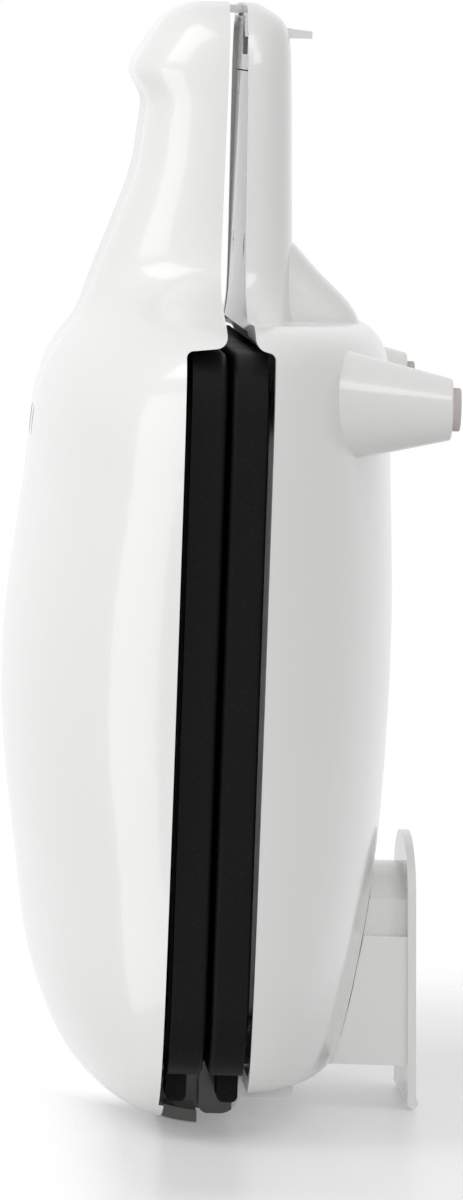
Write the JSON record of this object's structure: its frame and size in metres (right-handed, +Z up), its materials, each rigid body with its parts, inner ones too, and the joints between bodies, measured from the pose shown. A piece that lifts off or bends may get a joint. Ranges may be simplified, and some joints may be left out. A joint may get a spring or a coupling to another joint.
{
  "type": "waffle iron",
  "caption": "Electric waffle iron for side by side waffles: domed shells with a split handle, studded non-stick plates, latch, front feet and a rear cord-wrap foot",
  "frame": {"origin": "on the ground under the middle of the iron, as it lies ready for use", "axes": "+Z up through the lid, -Y towards the handle, +Y towards the hinge, X across the two waffles"},
  "size_m": [0.2322, 0.2499, 0.0973],
  "materials": {
    "shell_white": "white, glossy",
    "plate_black": "cast, black non-stick coating",
    "tray_metal": "bare sheet",
    "element_metal": "dark annealed tube",
    "spring_steel": "plain",
    "screw_steel": "zinc plated",
    "pad_rubber": "pale, matte",
    "gland_rubber": "grey, matte",
    "wire_sleeve": "pale silicone sleeve",
    "red_lens": "clear red, polished",
    "green_lens": "clear green, polished",
    "inner_plastic": "moulded, heat proof",
    "control_metal": "bare"
  },
  "bodies": {
    "base": {"base_shell": "shell_white", "base_handle_cover": "shell_white", "cord_drum": "shell_white", "cord_flange": "shell_white", "lower_plate": "plate_black", "lower_tray": "tray_metal", "lower_element": "element_metal", "lower_element_clips": "spring_steel", "latch_spring": "spring_steel", "lower_plate_screws": "screw_steel", "base_cover_screws": "screw_steel", "flange_screws": "screw_steel", "hinge_pin_left": "screw_steel", "hinge_pin_right": "screw_steel", "latch_pin": "screw_steel", "foot_pad_left": "pad_rubber", "foot_pad_right": "pad_rubber", "cord_gland": "gland_rubber", "base_wiring": "wire_sleeve", "terminal_block": "inner_plastic", "thermostat": "control_metal", "thermal_fuse": "control_metal"},
    "lid": {"lid_shell": "shell_white", "lid_handle_cover": "shell_white", "lid_cover_screws": "screw_steel", "upper_plate": "plate_black", "upper_tray": "tray_metal", "upper_element": "element_metal", "upper_element_clips": "spring_steel", "upper_plate_screws": "screw_steel", "power_lamp": "red_lens", "ready_lamp": "green_lens", "lamp_holder": "inner_plastic", "lid_wiring": "wire_sleeve"},
    "latch": {"latch_lever": "shell_white"}
  },
  "joints": [
    {"name": "lid_hinge", "type": "hinge", "parent": "base", "child": "lid", "pos_m": [0, 0.1188, 0.047], "axis": [-1, 0, 0], "range_deg": [0, 100]},
    {"name": "latch_pivot", "type": "hinge", "parent": "base", "child": "latch", "pos_m": [0, -0.1202, 0.0425], "axis": [1, 0, 0], "range_deg": [0, 12], "stiffness_Nm_per_rad": 0.02, "springref_deg": -8.59, "deforming": ["latch_spring"]}
  ]
}
